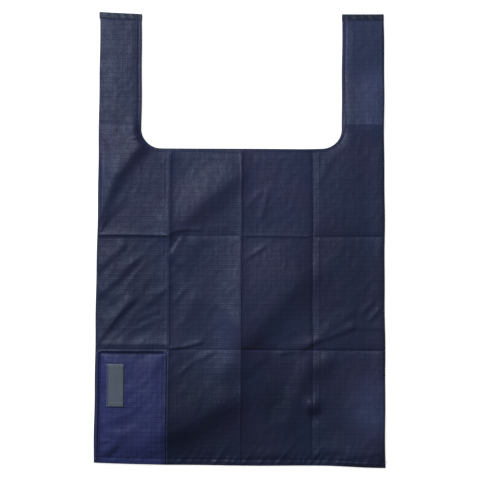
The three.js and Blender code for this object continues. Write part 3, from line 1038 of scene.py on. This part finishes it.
def stitches(name, lines, height, lift=0.05, under=False, thick=thread_radius):
    """A row of stitches over each line, as one piece of sewing. Along each stitch the thread has
    its share of the way, its share of the full size, and how far it sinks in."""
    thread = Cloth()
    sides = 6
    shares = np.array([0, 0.12, 0.35, 0.65, 0.88, 1])
    sizes = np.array([0.25, 0.8, 1, 1, 0.8, 0.25])
    sinks = np.array([-0.3, -0.08, 0, 0, -0.08, -0.3])
    for line in lines:
        starts, ends = along_path(line, stitch_length + stitch_gap)
        for start, end in zip(starts, ends):
            spine = start + (end - start) * shares[:, None]
            z = height(spine[:, 0], spine[:, 1])
            way = (end - start) / np.hypot(*(end - start))
            beside = np.array([-way[1], way[0]])
            rings = []
            for p, base, size, sink in zip(spine, z, sizes, sinks):
                turn = np.arange(sides) * 2 * math.pi / sides
                radius = thick * size
                flat = p + np.outer(np.cos(turn) * radius, beside)
                rise = np.sin(turn) * radius + (lift + sink) * (-1 if under else 1)
                rings.append(thread.add(np.column_stack([flat, base + rise])))
            for first, second in zip(rings, rings[1:]):
                thread.join(first + first[:1], second + second[:1])
            thread.faces += [tuple(rings[0][::-1]), tuple(rings[-1])]
    return cloth_object(name, thread, navy_thread)


def front_level(x, y):
    return face_level + face_height(x, y)


def back_level(x, y):
    return back_face_level - back_height(x, y)


seam_y = bottom_stitch - half_length
band_y = half_length - top_stitch


def neck_line():
    """The line of stitches in the neck's hem, between the handles' top bands."""
    right, _ = neck_run(neck_stitch, 3, 0)
    right = [p for p in right if p[1] < band_y]
    return right + [(-x, y) for x, y in right[::-1]]


bottom_line = [(-half_width + 1.2, seam_y), (half_width - 1.2, seam_y)]
top_lines = [
    [(-half_width + 1, band_y), (-neck_half - 1, band_y)],
    [(neck_half + 1, band_y), (half_width - 1, band_y)],
]


def bottom_level(x, y):
    """The bottom seam runs over the pocket's lower edge on its way across the front."""
    on_pocket = (x > pocket_left) & (x < pocket_right)
    return np.where(on_pocket, pocket_height(x, y), front_level(x, y))


bottom_thread = stitches("bottom_seam_thread", [bottom_line], bottom_level)
top_thread = stitches("handle_top_thread", top_lines, front_level)
neck_thread = stitches("neck_hem_thread", [neck_line()], front_level)
back_thread = stitches(
    "back_seam_thread",
    [bottom_line, *top_lines, neck_line()],
    back_level,
    lift=-0.02,
    under=True,
    thick=0.1,
)
pocket_line, _ = pocket_edge(pocket_stitch, 1.6)
pocket_line = [p for p in pocket_line if p[1] > seam_y + 1]
pocket_thread = stitches("pocket_thread", [pocket_line], pocket_height, thick=0.3)
label_lines = [
    [(label_left + 1, y), (label_right - 1, y)]
    for y in (label_bottom + label_stitch, label_top - label_stitch)
]
label_thread = stitches("label_thread", label_lines, label_height, lift=0.12)


# Loose thread ends: the last few millimetres left where a seam was cut off, at the left handle's
# top band and at the right end of the bottom seam.
def thread_end(name, points):
    route = np.array(points, float) * MM
    curve = bpy.data.curves.new(name, "CURVE")
    curve.dimensions = "3D"
    spline = curve.splines.new("BEZIER")
    spline.bezier_points.add(len(route) - 1)
    for knot, place in zip(spline.bezier_points, route):
        knot.co = place
        knot.handle_left_type = knot.handle_right_type = "AUTO"
    curve.bevel_depth = thread_radius * 0.8 * MM
    curve.bevel_resolution = 2
    curve.materials.append(navy_thread)
    made = bpy.data.objects.new(name, curve)
    bpy.context.scene.collection.objects.link(made)
    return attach(made, "root")


thread_end(
    "top_thread_end",
    [(-189, 292.4, 2.9), (-191, 293.2, 2.6), (-192.4, 292.2, 1.6), (-193, 290.6, 0.6)],
)
thread_end(
    "bottom_thread_end",
    [(189, -293.4, 2.8), (191, -294, 2.2), (192.2, -296.4, 1.2), (191.4, -298.4, 0.4)],
)


# Studio: a plain pale floor that stays white to the camera and keeps a soft shadow, a broad lamp
# from the upper left that rakes over the creases, a weaker one overhead that gives them their
# sheen, and a camera that looks almost straight down.
def plain_floor():
    """Pale grey where it is lit. It glows to the camera, and a little where it is mirrored."""
    size = 6.0
    grey = 0.4
    glow_strength = 0.9
    mirrored_share = 0.25
    mesh = bpy.data.meshes.new("floor")
    corners = [(-size, -size, 0), (size, -size, 0), (size, size, 0), (-size, size, 0)]
    mesh.from_pydata(corners, [], [(0, 1, 2, 3)])
    material = bpy.data.materials.new("pale_floor")
    material.use_nodes = True
    nodes, links = material.node_tree.nodes, material.node_tree.links
    shader = nodes["Principled BSDF"]
    shader.inputs["Base Color"].default_value = (grey, grey, grey, 1)
    shader.inputs["Roughness"].default_value = 0.9
    shader.inputs["Specular IOR Level"].default_value = 0.1
    glow = nodes.new("ShaderNodeEmission")
    glow.inputs["Strength"].default_value = glow_strength
    both = nodes.new("ShaderNodeAddShader")
    path = nodes.new("ShaderNodeLightPath")
    mix = nodes.new("ShaderNodeMixShader")
    seen = nodes.new("ShaderNodeMath")
    seen.operation = "MAXIMUM"
    mirrored = nodes.new("ShaderNodeMath")
    mirrored.operation = "MULTIPLY"
    mirrored.inputs[1].default_value = mirrored_share
    links.new(path.outputs["Is Glossy Ray"], mirrored.inputs[0])
    links.new(path.outputs["Is Camera Ray"], seen.inputs[0])
    links.new(mirrored.outputs[0], seen.inputs[1])
    links.new(shader.outputs[0], both.inputs[0])
    links.new(glow.outputs[0], both.inputs[1])
    links.new(seen.outputs[0], mix.inputs[0])
    links.new(shader.outputs[0], mix.inputs[1])
    links.new(both.outputs[0], mix.inputs[2])
    links.new(mix.outputs[0], nodes["Material Output"].inputs["Surface"])
    mesh.materials.append(material)
    floor = bpy.data.objects.new("floor", mesh)
    bpy.context.scene.collection.objects.link(floor)


def soft_lamp(name, place, size, power, gloss=True):
    """A round lamp aimed at the middle of the bag. Without gloss it isn't mirrored in the cloth."""
    light = bpy.data.lights.new(name, "AREA")
    light.shape = "DISK"
    light.size = size
    light.energy = power
    lamp = bpy.data.objects.new(name, light)
    lamp.location = place
    lamp.visible_glossy = gloss
    lamp.rotation_euler = (-Vector(place)).to_track_quat("-Z", "Y").to_euler()
    bpy.context.scene.collection.objects.link(lamp)


def pale_world(fill, mirrored):
    """White to the camera, and dimmer where it lights the cloth or is mirrored in it."""
    world = bpy.data.worlds.new("studio")
    bpy.context.scene.world = world
    world.use_nodes = True
    nodes, links = world.node_tree.nodes, world.node_tree.links
    backdrop = nodes["Background"]
    path = nodes.new("ShaderNodeLightPath")
    level = fill
    for kind, strength in (("Is Glossy Ray", mirrored), ("Is Camera Ray", 1.0)):
        step = nodes.new("ShaderNodeMapRange")
        links.new(path.outputs[kind], step.inputs["Value"])
        if isinstance(level, float):
            step.inputs["To Min"].default_value = level
        else:
            links.new(level, step.inputs["To Min"])
        step.inputs["To Max"].default_value = strength
        level = step.outputs[0]
    links.new(level, backdrop.inputs["Strength"])
    backdrop.inputs["Color"].default_value = (1, 1, 1, 1)


def photo_camera():
    """The camera of the photograph: about five degrees off straight down, from the lower end."""
    lean = math.radians(4.84)
    away = 1.71
    roll = math.radians(0.34)
    aim = Vector((-0.0017, -0.0052, 0.003))
    camera = bpy.data.cameras.new("camera")
    camera.lens = 96.7
    camera.sensor_width = 36
    holder = bpy.data.objects.new("camera", camera)
    holder.location = aim + Vector((0, -math.sin(lean), math.cos(lean))) * away
    turn = (aim - holder.location).to_track_quat("-Z", "Y").to_matrix().to_4x4()
    holder.rotation_euler = (turn @ Matrix.Rotation(roll, 4, "Z")).to_euler()
    bpy.context.scene.collection.objects.link(holder)
    bpy.context.scene.camera = holder


plain_floor()
soft_lamp("key", place=(-1.8, 1.8, 1.6), size=0.8, power=87, gloss=False)
soft_lamp("overhead", place=(-1.0, 1.2, 2.5), size=0.6, power=26)
pale_world(fill=0.06, mirrored=0.14)
photo_camera()
bpy.context.scene.view_settings.view_transform = "Standard"
